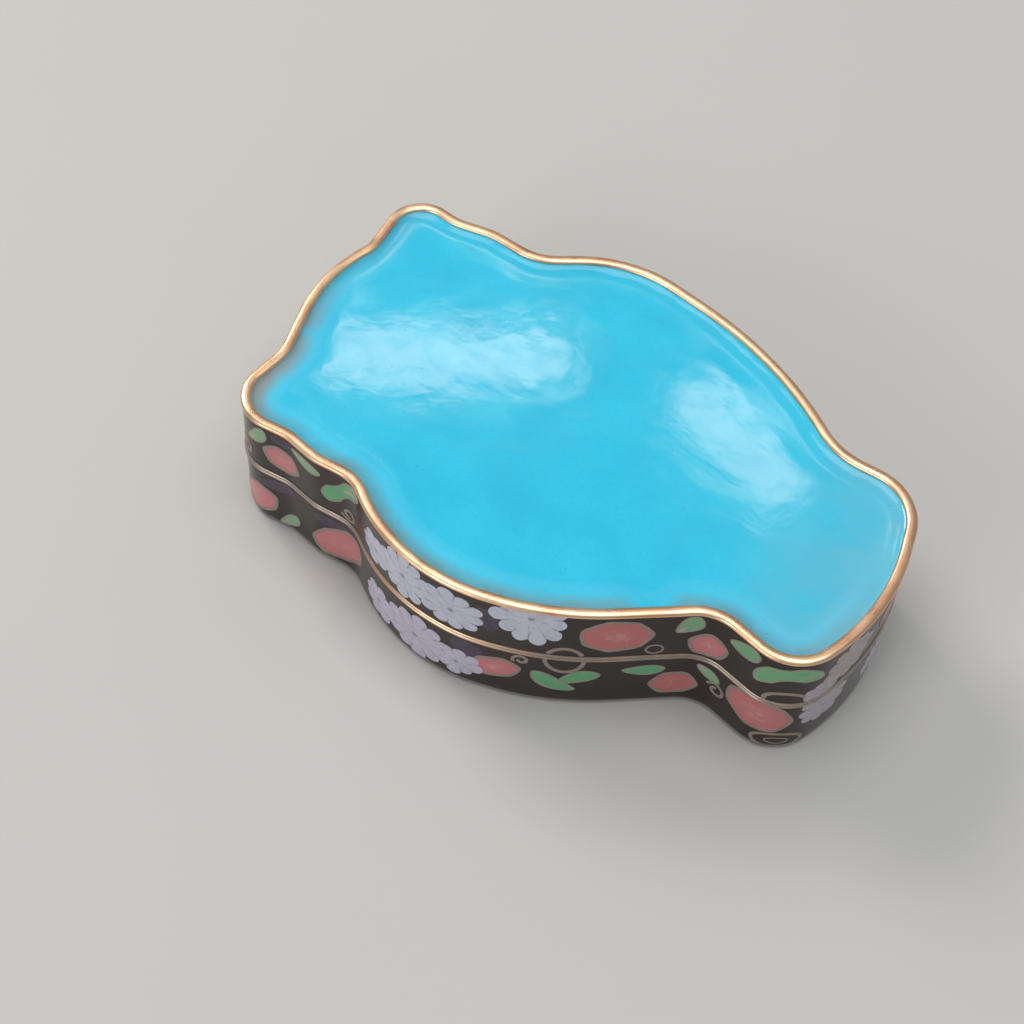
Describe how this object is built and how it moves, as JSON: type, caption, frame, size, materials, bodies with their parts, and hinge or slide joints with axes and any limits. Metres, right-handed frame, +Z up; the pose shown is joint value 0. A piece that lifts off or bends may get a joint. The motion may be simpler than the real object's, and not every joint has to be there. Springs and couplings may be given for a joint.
{
  "type": "cloisonne enamel box",
  "caption": "Small lidded trinket box of lobed, bottle-like plan, gilt copper with a plain turquoise top, dark floral cloisonne sides and a lift-off lid.",
  "frame": {"origin": "middle of the box's bounding box, at the level of the surface it stands on", "axes": "+X along the length, towards the rounded head end; +Z up through the turquoise top"},
  "size_m": [0.076, 0.0508, 0.019],
  "materials": {
    "gilt_copper": "satin",
    "turquoise_enamel": "gloss",
    "dark_enamel": "gloss"
  },
  "bodies": {
    "root": {"lid_body": "gilt_copper", "lid_field": "turquoise_enamel", "lid_band": "dark_enamel", "lid_lining": "turquoise_enamel", "base_body": "gilt_copper", "base_band": "dark_enamel", "base_panel": "turquoise_enamel", "base_lining": "turquoise_enamel"}
  },
  "joints": []
}
